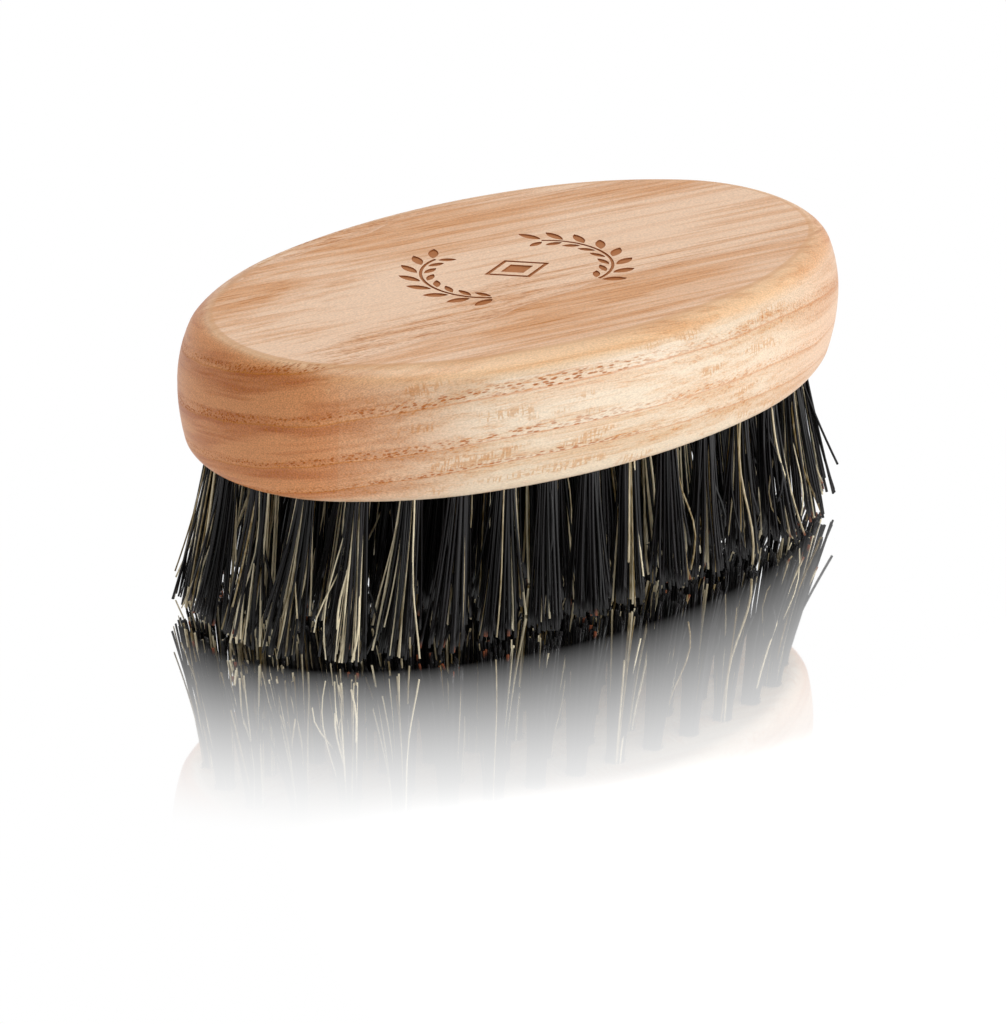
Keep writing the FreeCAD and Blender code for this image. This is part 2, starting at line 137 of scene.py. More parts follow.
class Graph:
    """Short calls for wiring one node tree."""

    def __init__(self, tree):
        self.tree = tree
        tree.nodes.clear()

    def feed(self, socket, value):
        """Link another node's output to a socket, or set its value."""
        if isinstance(value, bpy.types.NodeSocket):
            self.tree.links.new(value, socket)
        else:
            socket.default_value = value

    def node(self, kind, inputs=None, **settings):
        node = self.tree.nodes.new(kind)
        for name, value in settings.items():
            setattr(node, name, value)
        for name, value in (inputs or {}).items():
            self.feed(node.inputs[name], value)
        return node

    def math(self, operation, *values, clamp=False):
        node = self.node("ShaderNodeMath", dict(enumerate(values)), operation=operation, use_clamp=clamp)
        return node.outputs[0]

    def remap(self, value, low, high, to_low=0.0, to_high=1.0, smooth=True):
        """Value from low..high to to_low..to_high, held at the ends."""
        kind = "SMOOTHSTEP" if smooth else "LINEAR"
        inputs = dict(enumerate((value, low, high, to_low, to_high)))
        return self.node("ShaderNodeMapRange", inputs, interpolation_type=kind).outputs[0]

    def mix(self, amount, first, second, mode="MIX"):
        inputs = {0: amount, 6: first, 7: second}
        return self.node("ShaderNodeMix", inputs, data_type="RGBA", blend_type=mode).outputs[2]

    def stretch(self, vector, along, across, upward, offset=0.0):
        """Coordinates divided by a grain size in each direction, and shifted to other noise."""
        inputs = {"Vector": vector, "Scale": (1 / along, 1 / across, 1 / upward), "Location": (offset,) * 3}
        return self.node("ShaderNodeMapping", inputs).outputs[0]

    def noise(self, vector, detail=2.0, roughness=0.5):
        inputs = {"Vector": vector, "Scale": 1.0, "Detail": detail, "Roughness": roughness}
        return self.node("ShaderNodeTexNoise", inputs).outputs[0]

    def place(self, turn=0.0):
        """Where a point lies on its piece, in millimetres, along axes turned this far round Z."""
        place = self.node("ShaderNodeTexCoord").outputs["Object"]
        inputs = {"Vector": place, "Scale": (1 / MM,) * 3, "Rotation": (0, 0, -turn)}
        return self.node("ShaderNodeMapping", inputs).outputs[0]

    def attribute(self, name):
        return self.node("ShaderNodeAttribute", attribute_name=name).outputs["Fac"]


def new_material(name):
    material = bpy.data.materials.new(name)
    material.use_nodes = True
    return material, Graph(material.node_tree)


def use_material(piece, material):
    piece.data.materials.clear()
    piece.data.materials.append(material)


# --- wood ------------------------------------------------------------------------------------------------

# The grain runs this far round from +X. Growth rings are sheets that rise towards the front, and sag
# towards the -X end.
GRAIN_TURN = -6.5
RING_TILT = 0.17
RING_CLIMB = 0.012
RING_SAG = 1.2

# Heights of the ring lines where they pass the middle of the brush.
RING_LEVELS = (12.0, 18.5, 24.5, 28.4, 34.4, 41.3, 46.9, 53.0)

ORNAMENT_REACH = 17.0

EARLY_WOOD = colour(231, 194, 161)
LATE_WOOD = colour(208, 147, 91)
# Soaked end grain, darkened further on the -X half as painted shade.
END_GRAIN_AND_SHADE = (colour(203, 136, 85), colour(172, 96, 52))
# Off the flat top, the front sides get this cooler, paler tint as a painted sheen, standing in for the
# whitening of the satin highlight. The back sides and the upward rounds get fainter warm tints.
FRONT_SHEEN_TINT = colour(228, 246, 255)
BACK_SIDE_TINT = colour(250, 246, 238)
EDGE_TINT = colour(246, 239, 218)
RING_LINE = colour(179, 107, 22)
PORE = colour(158, 84, 32)
RIM_LINE = colour(200, 142, 84)
BURNT = colour(176, 111, 66)
BURNT_EDGE = colour(166, 103, 58)

# Sizes of the wood's features: along the grain, across it and upwards.
SLOW_WAVE = (60, 30, 16)
QUICK_WAVE = (30, 6, 5)
FIBRE = (15.0, 0.19, 0.24)
STRAND = (42.0, 1.2, 0.8)
LAYER = (60.0, 11.0, 0.8)
CLOUD = (30.0, 12.0, 3.0)
GRIT = (0.36, 0.15, 0.15)
PORE_TUBE = (1.3, 0.36, 0.34)
RAY_BAR = (0.30, 3.0, 1.5)
RAY_RUNG = (1.6, 3.0, 0.26)
RAY_PATCH = (9.0, 6.0, 2.4)
SCORCH = (2.2, 0.35, 0.35)

# How strongly some of them show, from 0 to 1. Ring lines have one strength off the flat top and one on it.
PORE_DEPTH = 0.80
RAY_DEPTH = 0.36
RIM_LINE_DEPTH = 0.5
BURNT_DEPTH = 0.92
RING_LINE_DEPTH = (0.60, 0.25)

# How high the ring lines' waves are.
SLOW_HEIGHT = 2.4
QUICK_HEIGHT = 0.9


class WoodPoint:
    """Where a point of the wood lies: along (u) and across (v) the grain, in its ring, on the surface."""

    def __init__(self, g):
        turn = math.radians(GRAIN_TURN)
        self.grain = g.place(turn)
        self.u, self.v, self.z = g.node("ShaderNodeSeparateXYZ", {0: self.grain}).outputs

        normal = g.node("ShaderNodeNewGeometry").outputs["Normal"]
        self.facing_up = g.node("ShaderNodeSeparateXYZ", {0: normal}).outputs[2]
        self.flat_top = g.remap(self.facing_up, 0.985, 0.999)
        grain_axis = (math.cos(turn), math.sin(turn), 0.0)
        along_grain = g.node("ShaderNodeVectorMath", {0: normal, 1: grain_axis}, operation="DOT_PRODUCT")
        self.end_grain = g.remap(g.math("ABSOLUTE", along_grain.outputs["Value"]), 0.08, 0.66)

        # Streaks, bands and pores lie in the growth sheets and run along the grain.
        level = ring_level(g, self)
        self.sheets = g.node("ShaderNodeCombineXYZ", {0: self.u, 1: self.v, 2: level}).outputs[0]
        self.ring = ring_position(g, level)
        above_line = g.remap(self.ring, 0.0, 0.01)
        self.pore_band = g.math("MULTIPLY", g.remap(self.ring, 0.14, 0.26, 1.0, 0.0), above_line)


def ring_level(g, at):
    """Height of the growth sheet through a point, measured where that sheet passes the middle."""
    slow = g.noise(g.stretch(at.grain, *SLOW_WAVE, offset=3.7), detail=1.0)
    quick = g.noise(g.stretch(at.grain, *QUICK_WAVE, offset=11.3), detail=1.0)
    level = g.math("MULTIPLY_ADD", at.v, RING_TILT, at.z)
    level = g.math("MULTIPLY_ADD", at.u, -RING_CLIMB, level)
    level = g.math("ADD", level, g.remap(at.u, -58.0, -12.0, RING_SAG, 0.0))
    level = g.math("MULTIPLY_ADD", g.math("SUBTRACT", slow, 0.5), SLOW_HEIGHT, level)
    return g.math("MULTIPLY_ADD", g.math("SUBTRACT", quick, 0.5), QUICK_HEIGHT, level)


def ring_position(g, level):
    """How far through its growth ring a level is: 0 at the ring line, and 1 just before the next."""
    first, last = RING_LEVELS[0], RING_LEVELS[-1]
    ramp = g.node("ShaderNodeValToRGB", {"Fac": g.remap(level, first, last, smooth=False)})
    stops = ramp.color_ramp.elements
    count = len(RING_LEVELS) - 1
    for index, height in enumerate(RING_LEVELS[1:-1], start=1):
        stop = stops.new((height - first) / (last - first))
        stop.color = (index / count,) * 3 + (1.0,)
    return g.math("FRACT", g.math("MULTIPLY", ramp.outputs[0], float(count)))


def banding(g, at):
    """Noise in bands along the grain, which are wider where the cut shows end grain."""
    strand = g.noise(g.stretch(at.sheets, *STRAND, offset=8.2), detail=2.0)
    layer = g.noise(g.stretch(at.sheets, *LAYER, offset=5.5), detail=2.0)
    lengthwise_part = g.math("MULTIPLY", strand, g.math("SUBTRACT", 1.0, at.end_grain))
    return g.math("ADD", lengthwise_part, g.math("MULTIPLY", layer, at.end_grain))


def brownness(g, at, band):
    """How brown the wood is, from early wood at 0 to late wood at 1."""
    cloud = g.noise(g.stretch(at.sheets, *CLOUD, offset=2.6), detail=1.0)
    late = g.remap(at.ring, 0.45, 1.0)
    brown = g.math("MULTIPLY_ADD", late, 0.66, g.remap(band, 0.38, 0.66, -0.22, 0.34))
    brown = g.math("ADD", brown, g.remap(cloud, 0.35, 0.65, -0.18, 0.26))
    return g.math("ADD", brown, g.math("MULTIPLY", at.pore_band, 0.26), clamp=True)


def ground_colour(g, at, brown):
    """Colour between the ring lines. Off the flat top, the front is tinted cooler and paler as a painted
    sheen, and the back only faintly.
    """
    browned = g.math("MULTIPLY", brown, g.remap(at.flat_top, 0.0, 1.0, 0.75, 1.0))
    base = g.mix(browned, EARLY_WOOD, LATE_WOOD)
    # Painted sheen: the front sides are paled and cooled where the satin highlight falls, and the back much
    # less.
    painted_sheen_tint = g.mix(g.remap(at.v, 3.0, 14.0), FRONT_SHEEN_TINT, BACK_SIDE_TINT)
    tint = g.mix(g.remap(at.facing_up, 0.30, 0.75), painted_sheen_tint, EDGE_TINT)
    return g.mix(g.math("SUBTRACT", 1.0, at.flat_top), base, g.mix(1.0, base, tint, mode="MULTIPLY"))


def end_grain_soak_and_shade(g, at):
    """End grain soaks up more oil and is darker. The extra darkening towards the -X half is painted shade,
    for the end that faces away from the lamps.
    """
    soak_and_left_shade = g.math("ADD", g.remap(at.u, -30.0, 20.0, 0.95, 0.20), g.remap(at.u, 15.0, 50.0, 0.0, 0.20))
    return g.math("MULTIPLY", at.end_grain, soak_and_left_shade)


def streaks(g, at, fibre, brown):
    """Fine dark streaks of fibre, which are deepest where the wood is brown."""
    depth = g.math("MULTIPLY_ADD", brown, 0.58, 0.07)
    depth = g.math("MULTIPLY_ADD", at.pore_band, 0.30, depth)
    depth = g.math("MULTIPLY", depth, g.remap(at.flat_top, 0.0, 1.0, 0.95, 1.15))
    return g.math("MULTIPLY", g.remap(fibre, 0.49, 0.65), depth)


def pores(g, at, band):
    """Short tubes along the grain, in rows above each ring line, and fainter on the flat top and at +X."""
    cells = g.stretch(at.sheets, *PORE_TUBE)
    distance = g.node("ShaderNodeTexVoronoi", {"Vector": cells, "Scale": 1.0}).outputs["Distance"]
    pore = g.math("MULTIPLY", g.remap(distance, 0.26, 0.48, 1.0, 0.0), at.pore_band)
    pore = g.math("MULTIPLY", pore, g.remap(band, 0.36, 0.54, 0.35, 1.0))
    pore = g.math("MULTIPLY", pore, g.remap(at.flat_top, 0.0, 1.0, 1.0, 0.4))
    return g.math("MULTIPLY", pore, g.remap(at.u, -12.0, 14.0, 1.0, 0.30))


def ray_flecks(g, at):
    """Rays, which show as patches of short upright bars and finer rungs where they are cut lengthwise."""
    bars = g.noise(g.stretch(at.grain, *RAY_BAR, offset=6.3), detail=0.0)
    rungs = g.noise(g.stretch(at.grain, *RAY_RUNG, offset=9.9), detail=0.0)
    patches = g.noise(g.stretch(at.grain, *RAY_PATCH, offset=9.4), detail=1.0)
    fainter_rungs = g.math("MULTIPLY", g.remap(rungs, 0.52, 0.62), 0.8)
    woven = g.math("MAXIMUM", g.remap(bars, 0.50, 0.60), fainter_rungs)
    near_line = g.math("MULTIPLY", g.remap(at.ring, 0.06, 0.16), g.remap(at.ring, 0.55, 0.85, 1.0, 0.0))
    upright = g.remap(at.facing_up, 0.4, 0.7, 1.0, 0.0)
    lengthwise = g.math("MULTIPLY", upright, g.remap(at.end_grain, 0.3, 0.9, 1.0, 0.0))
    amount = g.math("MULTIPLY", g.remap(patches, 0.50, 0.62), near_line)
    amount = g.math("MULTIPLY", amount, lengthwise)
    return g.math("MULTIPLY", amount, woven)


def ring_lines(g, at):
    line = g.math("MAXIMUM", g.remap(at.ring, 0.0, 0.04, 1.0, 0.0), g.remap(at.ring, 0.975, 1.0))
    return g.math("MULTIPLY", line, g.remap(at.flat_top, 0.0, 1.0, *RING_LINE_DEPTH))


def speckled(g, at, base):
    """The colour with a fine speckle over it, which is stronger on rougher end grain."""
    grit = g.noise(g.stretch(at.grain, *GRIT, offset=4.4), detail=1.0)
    rough_cut = g.remap(at.end_grain, 0.0, 1.0, 0.26, 0.44)
    grit = g.math("MULTIPLY_ADD", g.remap(grit, 0.30, 0.70, -0.5, 0.5, smooth=False), rough_cut, 1.0)
    speckle = g.node("ShaderNodeCombineColor", {0: grit, 1: grit, 2: grit}).outputs[0]
    return g.mix(1.0, base, speckle, mode="MULTIPLY")


def edged(g, at, base):
    """The colour with a thin golden line along the rim of the flat top."""
    rim = g.math("MULTIPLY", g.remap(at.z, WOOD_TOP - 0.14, WOOD_TOP - 0.04),
                 g.remap(at.z, WOOD_TOP - 0.02, WOOD_TOP, 1.0, 0.0))
    return g.mix(g.math("MULTIPLY", rim, RIM_LINE_DEPTH), base, RIM_LINE)


def burn_ornament(g, at, base):
    """The colour with the ornament burnt in, brown on its floor and darker up its walls; and that floor."""
    flat_place = g.node("ShaderNodeCombineXYZ", {0: at.u, 1: at.v}).outputs[0]
    from_middle = g.node("ShaderNodeVectorMath", {0: flat_place}, operation="LENGTH").outputs["Value"]
    near_middle = g.remap(from_middle, ORNAMENT_REACH, ORNAMENT_REACH + 0.5, 1.0, 0.0)
    near_middle = g.math("MULTIPLY", near_middle, g.remap(at.z, WOOD_TOP - 0.5, WOOD_TOP - 0.4))
    floor = g.math("MULTIPLY", g.remap(at.z, WOOD_TOP - 0.17, WOOD_TOP - 0.10, 1.0, 0.0), near_middle)
    wall = g.math("MULTIPLY", g.remap(at.facing_up, 0.5, 0.9, 1.0, 0.0), near_middle)
    scorch = g.noise(g.stretch(at.grain, *SCORCH, offset=7.7), detail=3.0)
    burnt = g.mix(g.remap(scorch, 0.35, 0.70), BURNT, BURNT_EDGE)
    base = g.mix(g.math("MULTIPLY", floor, BURNT_DEPTH), base, burnt)
    return g.mix(wall, base, BURNT_EDGE), floor


def wood_material():
    material, g = new_material("oiled_ring_porous_wood")
    at = WoodPoint(g)
    fibre = g.noise(g.stretch(at.sheets, *FIBRE, offset=1.9), detail=3.0, roughness=0.62)
    band = banding(g, at)
    brown = brownness(g, at, band)
    soak_and_shade = end_grain_soak_and_shade(g, at)
    streak = streaks(g, at, fibre, brown)
    flecks = ray_flecks(g, at)
    pore = pores(g, at, band)

    base = ground_colour(g, at, brown)
    # End grain is darker: partly its real soak, and towards the -X half mostly painted shade.
    base = g.mix(soak_and_shade, base, g.mix(brown, *END_GRAIN_AND_SHADE))
    base = g.mix(streak, base, RING_LINE)
    base = g.mix(g.math("MULTIPLY", flecks, RAY_DEPTH), base, RING_LINE)
    base = g.mix(ring_lines(g, at), base, RING_LINE)
    base = g.mix(g.math("MULTIPLY", pore, PORE_DEPTH), base, PORE)
    base = edged(g, at, speckled(g, at, base))
    base, burnt_floor = burn_ornament(g, at, base)

    dip = g.math("MULTIPLY_ADD", pore, -1.0, g.math("MULTIPLY", fibre, 0.35))
    bump = g.node("ShaderNodeBump", {"Strength": 0.35, "Distance": 0.06 * MM, "Height": dip}).outputs[0]
    roughness = g.math("MULTIPLY_ADD", fibre, 0.12, 0.34)
    roughness = g.math("MULTIPLY_ADD", g.math("MAXIMUM", burnt_floor, pore), 0.25, roughness)
    roughness = g.math("MULTIPLY_ADD", at.flat_top, 0.12, roughness)
    # Open or burnt wood shines less, and so does end grain where it is soaked or painted with shade.
    opened = g.math("MAXIMUM", g.math("MAXIMUM", pore, burnt_floor), g.math("MAXIMUM", streak, flecks))
    shine = g.math("MULTIPLY", g.remap(soak_and_shade, 0.0, 0.8, 0.80, 0.25), g.remap(opened, 0.1, 0.9, 1.0, 0.15))
    surface = g.node("ShaderNodeBsdfPrincipled", {
        "Base Color": base, "Roughness": roughness, "Normal": bump, "Specular IOR Level": shine,
    })
    g.node("ShaderNodeOutputMaterial", {"Surface": surface.outputs[0]})
    return material


# --- bristle and wire ------------------------------------------------------------------------------------

DARK_HAIR = (colour(2, 2, 2), colour(24, 21, 23))
BLOND_HAIR = (colour(116, 94, 48), colour(255, 242, 208))
RUSTY_TIP = colour(126, 66, 36)
WIRE = (colour(150, 147, 142), colour(214, 211, 205))

# Sizes of the mottling along a bristle, and of the draw marks along the wire.
MOTTLE = (0.20, 0.20, 2.2)
DRAW_MARK = (4.0, 0.05, 0.05)


def bristle_material():
    """Dark, straw-coloured and rusty-tipped bristle, told apart by what each hair carries."""
    material, g = new_material("mixed_bristle")
    mottle = g.noise(g.stretch(g.place(), *MOTTLE), detail=2.0)
    shade = g.math("ADD", g.attribute("shade"), g.math("SUBTRACT", mottle, 0.5), clamp=True)
    dark = g.mix(shade, *DARK_HAIR)
    blond = g.mix(shade, *BLOND_HAIR)
    base = g.mix(g.attribute("blond"), dark, blond)
    rust = g.math("MULTIPLY", g.attribute("rust"), g.remap(g.attribute("along"), 0.95, 1.0))
    base = g.mix(rust, base, RUSTY_TIP)
    surface = g.node("ShaderNodeBsdfPrincipled", {
        "Base Color": base, "Roughness": 0.26, "Specular IOR Level": 0.25,
    })
    g.node("ShaderNodeOutputMaterial", {"Surface": surface.outputs[0]})
    return material


def wire_material():
    """Flat drawn steel wire, with fine draw marks along it."""
    material, g = new_material("drawn_anchor_wire")
    marks = g.noise(g.stretch(g.place(), *DRAW_MARK), detail=3.0)
    base = g.mix(marks, *WIRE)
    bump = g.node("ShaderNodeBump", {"Strength": 0.4, "Distance": 0.01 * MM, "Height": marks}).outputs[0]
    surface = g.node("ShaderNodeBsdfPrincipled", {
        "Base Color": base, "Metallic": 1.0, "Normal": bump,
        "Roughness": g.remap(marks, 0.3, 0.7, 0.25, 0.45),
    })
    g.node("ShaderNodeOutputMaterial", {"Surface": surface.outputs[0]})
    return material


# --- building the bristles -------------------------------------------------------------------------------

# Points this close to a tuft's top are on its rim, and points this close together are on the same rim.
RIM_DEPTH = 0.1
HOLE_WIDTH_LIMIT = 2 * HOLE_FILL_RADIUS + 0.6


def hole_centres(node):
    """Centre of every hole that a tuft node fills, from the points round the top of each of its tufts."""
    points = np.array([vertex.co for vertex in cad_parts[node].data.vertices]) / MM
    rim = points[points[:, 2] > points[:, 2].max() - RIM_DEPTH]
    holes = []
    for point in rim[:, :2]:
        for hole in holes:
            if np.hypot(*(hole[0] - point)) < HOLE_WIDTH_LIMIT:
                hole.append(point)
                break
        else:
            holes.append([point])
    return [(np.min(hole, axis=0) + np.max(hole, axis=0)) / 2 for hole in holes]


def trim_height(x, y):
    """Height of the trimmed tips: flat in the middle, curving up towards the rim and most at the ends."""
    spread = (x / TRIM_FLAT[0]) ** 2 + (y / TRIM_FLAT[1]) ** 2
    past_end = np.clip((np.abs(x) - END_REACH[0]) / (END_REACH[1] - END_REACH[0]), 0, END_LIMIT)
    return TRIM_RISE * np.maximum(0.0, spread - 1.0) + END_RISE * past_end ** 2


def disc_places(random, count):
    """Evenly scattered places in a disc of radius 1, with a little disorder."""
    index = np.arange(count) + 0.5
    radius = np.sqrt(index / count)
    turn = index * math.pi * (3 - math.sqrt(5)) + random.uniform(0, 2 * math.pi)
    places = np.stack([radius * np.cos(turn), radius * np.sin(turn)], axis=1)
    return places + random.normal(0, PLACE_DISORDER, places.shape)


def paired_legs(random):
    """Places of each folded bristle's two legs: one on each side of the anchor, at the same station."""
    places = disc_places(random, 2 * FOLDED_PER_TUFT)
    places = places[np.argsort(places[:, 1])]
    near, far = places[:FOLDED_PER_TUFT], places[FOLDED_PER_TUFT:]
    return near[np.argsort(near[:, 0])], far[np.argsort(far[:, 0])]


def aimed_tips(random, centre, places, bundles, stray):
    """Where the tips of one side's legs end up, seen from above."""
    gaps = np.linalg.norm(places[:, None] - bundles, axis=2)
    home = bundles[np.argmin(gaps, axis=1)]
    gathered = places + (home - places) * BUNDLE_PULL
    strayed = np.clip(random.normal(0, STRAY_TIP, places.shape), -STRAY_TIP_LIMIT, STRAY_TIP_LIMIT)
    disorder = random.normal(0, TIP_DISORDER, places.shape) + stray[:, None] * strayed
    offset = gathered * TIP_SPREAD_RADIUS + disorder
    reach = np.linalg.norm(offset, axis=1, keepdims=True)
    return centre * SPLAY + offset * np.minimum(1.0, TIP_REACH / reach)


def leg_lines(random, centre, places, tip, stray):
    """Centre lines of one side's legs, from just under the anchor's top down to their tips."""
    count = len(places)
    root = centre + places * HOLE_FILL_RADIUS
    top = root.copy()
    beside = ANCHOR_CLEARANCE + np.abs(places[:, 1]) * (HOLE_FILL_RADIUS - ANCHOR_CLEARANCE)
    top[:, 1] = centre[1] + np.sign(places[:, 1].mean()) * beside
    is_short = random.random(count) < SHORT_CHANCE + EXTRA_CHANCE * stray
    short_by = np.where(is_short, random.uniform(*SHORT_BY, count), 0.0)
    uneven_by = np.abs(random.normal(0, CUT_DISORDER, count))
    tip_level = trim_height(tip[:, 0], tip[:, 1]) + uneven_by + short_by
    bow_size = random.normal(0, BOW, count) + stray * random.normal(0, STRAY_BOW, count)
    bow_turn = random.uniform(0, 2 * math.pi, count)
    bow = np.stack([np.cos(bow_turn), np.sin(bow_turn)], axis=1) * bow_size[:, None]
    bend = random.uniform(*BEND, count)[:, None]
    sway = (math.pi * random.uniform(1.0, 1.0 + STRAY_SWAY * stray))[:, None]
    lines = np.empty((count, SHOWN_STEPS + 2, 3))
    lines[:, 0, :2] = top
    lines[:, 0, 2] = LEG_TOP
    for step in range(SHOWN_STEPS + 1):
        part = step / SHOWN_STEPS
        lines[:, step + 1, :2] = root + (tip - root) * part ** bend + bow * np.sin(sway * part) * part
        lines[:, step + 1, 2] = MOUTH_LEVEL + (tip_level - MOUTH_LEVEL) * part
    return lines


def fold_lines(near, far):
    """The turns over the anchor that join two rows of leg tops."""
    turns = []
    for step in range(1, FOLD_STEPS):
        angle = math.pi * step / FOLD_STEPS
        part = (1 - math.cos(angle)) / 2
        turn = near + (far - near) * part
        turn[:, 2] = LEG_TOP + FOLD_RISE * math.sin(angle)
        turns.append(turn)
    return np.stack(turns, axis=1)


def tubes(lines, radii):
    """Vertices and faces of a closed tube round every line."""
    tangents = np.gradient(lines, axis=1)
    tangents /= np.linalg.norm(tangents, axis=2, keepdims=True)
    side = np.array([1.0, 0.0, 0.0]) - tangents * tangents[:, :, :1]
    side /= np.linalg.norm(side, axis=2, keepdims=True)
    other = np.cross(tangents, side)
    turns = 2 * math.pi * np.arange(TUBE_SIDES) / TUBE_SIDES
    rings = side[:, :, None, :] * np.cos(turns)[:, None] + other[:, :, None, :] * np.sin(turns)[:, None]
    vertices = lines[:, :, None, :] + rings * radii[:, :, None, None]

    count, steps = lines.shape[:2]
    faces = []
    for tube in range(count):
        start = tube * steps * TUBE_SIDES
        for step in range(steps - 1):
            low = start + step * TUBE_SIDES
            for corner in range(TUBE_SIDES):
                after = (corner + 1) % TUBE_SIDES
                high = low + TUBE_SIDES
                faces.append((low + corner, low + after, high + after, high + corner))
        end = start + (steps - 1) * TUBE_SIDES
        faces.append(tuple(range(start + TUBE_SIDES - 1, start - 1, -1)))
        faces.append(tuple(range(end, end + TUBE_SIDES)))
    return vertices.reshape(-1, 3), faces


def blond_hairs(random, centre, places):
    """Which hairs are straw-coloured: mostly those in a few strands, and more towards the -X end."""
    chance = np.full(len(places), np.interp(centre[0], *BLOND_SHARE))
    for _ in range(random.integers(1, MOST_STRANDS + 1)):
        middle = random.uniform(-STRAND_PLACE, STRAND_PLACE, 2)
        chance[np.hypot(*(places - middle).T) < random.uniform(*STRAND_RADIUS)] = STRAND_SHARE
    return (random.random(len(places)) < chance).astype(float)


def hair_radii(random, blond, steps):
    """Radius of each folded bristle at each step along it, from its thick end to its thin one."""
    dark_thick = random.uniform(*DARK_THICK, len(blond))
    blond_thick = random.uniform(*BLOND_THICK, len(blond))
    thick = np.where(blond > 0, blond_thick, dark_thick) / 2
    thinnest = np.where(blond > 0, BLOND_THINNEST_TIP, DARK_THINNEST_TIP)
    thin = thick * random.uniform(thinnest, 1.0)
    return thick[:, None] + (thin - thick)[:, None] * np.linspace(0, 1, steps)


def tuft_geometry(random, centre):
    """Vertices, faces and the values that each vertex carries, for one tuft."""
    near_places, far_places = paired_legs(random)
    bundles = disc_places(random, BUNDLES_PER_TUFT)
    blond = blond_hairs(random, centre, near_places)
    stray = (random.random(FOLDED_PER_TUFT) < STRAY_CHANCE + EXTRA_CHANCE * blond).astype(float)
    lean = np.clip(random.normal(0, TUFT_LEAN, 2), -TUFT_LEAN_LIMIT, TUFT_LEAN_LIMIT)
    legs = []
    for places in (near_places, far_places):
        tip = aimed_tips(random, centre, places, bundles, stray) + lean
        legs.append(leg_lines(random, centre, places, tip, stray))
    near, far = legs
    lines = np.concatenate([near[:, ::-1], fold_lines(near[:, 0], far[:, 0]), far], axis=1)
    radii = hair_radii(random, blond, lines.shape[1])

    steps = SHOWN_STEPS + 1
    along = np.concatenate([np.linspace(1, 0, steps), np.zeros(FOLD_STEPS + 1), np.linspace(0, 1, steps)])
    shade = random.random(FOLDED_PER_TUFT) ** SHADE_POWER
    rust = (random.random(FOLDED_PER_TUFT) < RUST_CHANCE).astype(float)
    per_tube = lines.shape[1] * TUBE_SIDES
    carried = {
        "blond": np.repeat(blond, per_tube),
        "shade": np.repeat(shade, per_tube),
        "rust": np.repeat(rust, per_tube),
        "along": np.tile(np.repeat(along, TUBE_SIDES), FOLDED_PER_TUFT),
    }
    vertices, faces = tubes(lines, radii)
    return vertices, faces, carried


def build_tufts(node, seed, material):
    """All the bristles of one tuft node, as one piece that stands for it."""
    random = np.random.default_rng(seed)
    vertices, faces, carried = [], [], {}
    for centre in hole_centres(node):
        tuft_vertices, tuft_faces, tuft_carried = tuft_geometry(random, centre)
        start = sum(len(block) for block in vertices)
        faces += [tuple(start + corner for corner in face) for face in tuft_faces]
        vertices.append(tuft_vertices)
        for name, values in tuft_carried.items():
            carried.setdefault(name, []).append(values)

    mesh = bpy.data.meshes.new(f"{node}_bristles")
    mesh.from_pydata(np.concatenate(vertices) * MM, [], faces)
    for name, blocks in carried.items():
        attribute = mesh.attributes.new(name, "FLOAT", "POINT")
        attribute.data.foreach_set("value", np.concatenate(blocks))
    mesh.shade_smooth()
    piece = bpy.data.objects.new(f"{node}_bristles", mesh)
    bpy.context.scene.collection.objects.link(piece)
    use_material(piece, material)
    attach(piece, "root")
    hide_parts(node)
    return piece


# --- stage, light and camera -----------------------------------------------------------------------------

# The floor lies just below the tips. It mirrors the brush near its foot, and the mirror image fades out
# over this distance from the footprint.
FLOOR_HALF_WIDTH = 4000.0
FLOOR_DROP = 0.1
FOOTPRINT = (52.0, 28.5)
MIRROR_FADE = 52.5
FADE_POWER = 1.3

# The brightest part of the floor: its middle, where its glow starts to fall and where it ends, and how
# bright it is.
POOL_PLACE = (45.0, -135.0, 0.0)
POOL_REACH = (60.0, 150.0)
POOL_GLOW = 2.8

# Each lamp's place, its width and height, and its power in watts. Both point at the same target.
LAMPS = {
    "side_softbox": ((380.0, -800.0, 140.0), (600.0, 300.0), 3.3),
    "overhead": ((150.0, -100.0, 950.0), (600.0, 600.0), 3.4),
}
LAMP_TARGET = (0.0, 0.0, 30.0)

# The level direction that the camera looks along.
AWAY = (0.60, 0.80, 0.0)

CAMERA_PLACE = (-500.9, -605.5, 351.5)
CAMERA_TARGET = (-6.31, -6.56, 10.72)
CAMERA_ROLL = 2.0
CAMERA_LENS = 215.2
CAMERA_SENSOR = 36.0
CAMERA_CLIP = (10.0, 50000.0)


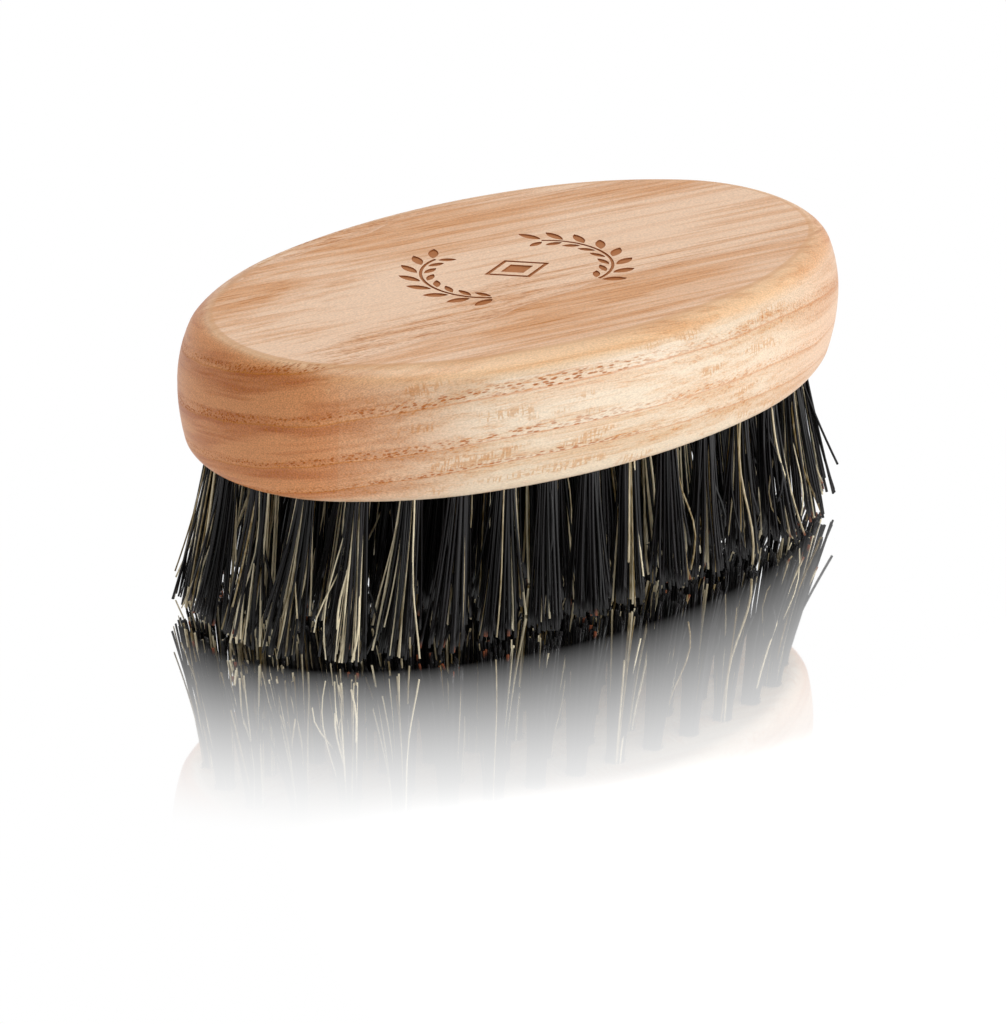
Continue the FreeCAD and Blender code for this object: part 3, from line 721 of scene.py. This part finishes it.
def floor_material():
    """White and self-lit, with a mirror layer that fades with distance from the brush.

    The glow is strongest in a pool in front and to the right, where the softbox lights the floor.
    """
    material, g = new_material("white_gloss_floor")
    place = g.place()
    scale = (1 / FOOTPRINT[0], 1 / FOOTPRINT[1], 0.0)
    scaled = g.node("ShaderNodeMapping", {"Vector": place, "Scale": scale}).outputs[0]
    stretched = g.node("ShaderNodeVectorMath", {0: scaled}, operation="LENGTH").outputs["Value"]
    real = g.node("ShaderNodeVectorMath", {0: place}, operation="LENGTH").outputs["Value"]
    # A point's distance from the footprint is what is left of its radius past the footprint's edge.
    inside = g.math("DIVIDE", real, g.math("MAXIMUM", stretched, 0.001))
    outside = g.math("SUBTRACT", real, inside)
    mirror = g.remap(outside, 0.0, MIRROR_FADE, 1.0, 0.0, smooth=False)
    mirror = g.math("POWER", mirror, FADE_POWER)
    # Like any gloss, it mirrors little when seen from above.
    facing = g.node("ShaderNodeLayerWeight", {"Blend": 0.5}).outputs["Facing"]
    mirror = g.math("MULTIPLY", mirror, g.remap(facing, 0.15, 0.50, 0.06, 1.0))
    to_pool = g.node("ShaderNodeVectorMath", {0: place, 1: POOL_PLACE}, operation="DISTANCE")
    pool = g.math("MULTIPLY", g.remap(to_pool.outputs["Value"], *POOL_REACH, 1.0, 0.0),
                  g.remap(outside, 0.7 * MIRROR_FADE, 1.1 * MIRROR_FADE))
    glow = g.math("MULTIPLY_ADD", pool, POOL_GLOW - 1.0, 1.0)
    white = g.node("ShaderNodeEmission", {"Color": (1, 1, 1, 1), "Strength": glow}).outputs[0]
    gloss = g.node("ShaderNodeBsdfGlossy", {"Color": (1, 1, 1, 1), "Roughness": 0.03}).outputs[0]
    surface = g.node("ShaderNodeMixShader", {0: mirror, 1: white, 2: gloss}).outputs[0]
    g.node("ShaderNodeOutputMaterial", {"Surface": surface})
    return material


def build_floor():
    half = FLOOR_HALF_WIDTH * MM
    mesh = bpy.data.meshes.new("floor")
    corners = [(-half, -half, 0), (half, -half, 0), (half, half, 0), (-half, half, 0)]
    mesh.from_pydata(corners, [], [(0, 1, 2, 3)])
    floor = bpy.data.objects.new("floor", mesh)
    floor.location.z = -FLOOR_DROP * MM
    bpy.context.scene.collection.objects.link(floor)
    use_material(floor, floor_material())


def build_world():
    """White behind the brush, as the floor mirrors it, and dimmer overhead and in front for the lamps."""
    world = bpy.data.worlds.new("studio")
    world.use_nodes = True
    g = Graph(world.node_tree)
    direction = g.node("ShaderNodeTexCoord").outputs["Generated"]
    height = g.node("ShaderNodeSeparateXYZ", {0: direction}).outputs[2]
    away = g.node("ShaderNodeVectorMath", {0: direction, 1: AWAY}, operation="DOT_PRODUCT")
    overhead = g.remap(height, 0.50, 0.90, 1.0, 0.6)
    sideways = g.remap(away.outputs["Value"], -0.35, 0.35, 0.45, 1.0)
    strength = g.math("MULTIPLY", overhead, sideways)
    sky = g.node("ShaderNodeBackground", {"Color": (1, 1, 1, 1), "Strength": strength}).outputs[0]
    g.node("ShaderNodeOutputWorld", {"Surface": sky})
    bpy.context.scene.world = world


def add_lamp(name, place, size, power):
    """A soft white lamp of the given width and height."""
    lamp = bpy.data.lights.new(name, "AREA")
    lamp.shape = "RECTANGLE"
    lamp.size, lamp.size_y = (side * MM for side in size)
    lamp.energy = power
    holder = bpy.data.objects.new(name, lamp)
    holder.location = Vector(place) * MM
    holder.rotation_euler = (Vector(LAMP_TARGET) - Vector(place)).to_track_quat("-Z", "Y").to_euler()
    bpy.context.scene.collection.objects.link(holder)


def build_camera():
    camera = bpy.data.cameras.new("camera")
    camera.sensor_width = CAMERA_SENSOR
    camera.lens = CAMERA_LENS
    camera.clip_start, camera.clip_end = (distance * MM for distance in CAMERA_CLIP)
    holder = bpy.data.objects.new("camera", camera)
    place = Vector(CAMERA_PLACE) * MM
    target = Vector(CAMERA_TARGET) * MM
    facing = (target - place).to_track_quat("-Z", "Y")
    roll = Quaternion((0, 0, 1), math.radians(CAMERA_ROLL))
    holder.rotation_mode = "QUATERNION"
    holder.rotation_quaternion = facing @ roll
    holder.location = place
    bpy.context.scene.collection.objects.link(holder)
    bpy.context.scene.camera = holder


def main():
    use_material(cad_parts["wood_body"], wood_material())
    use_material(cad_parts["tuft_anchors"], wire_material())

    bristle = bristle_material()
    tuft_nodes = sorted(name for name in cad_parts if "tuft" in name and name != "tuft_anchors")
    for seed, node in enumerate(tuft_nodes, start=1):
        build_tufts(node, seed, bristle)

    build_floor()
    build_world()
    for name, settings in LAMPS.items():
        add_lamp(name, *settings)
    build_camera()
    bpy.context.scene.view_settings.view_transform = "Standard"


main()
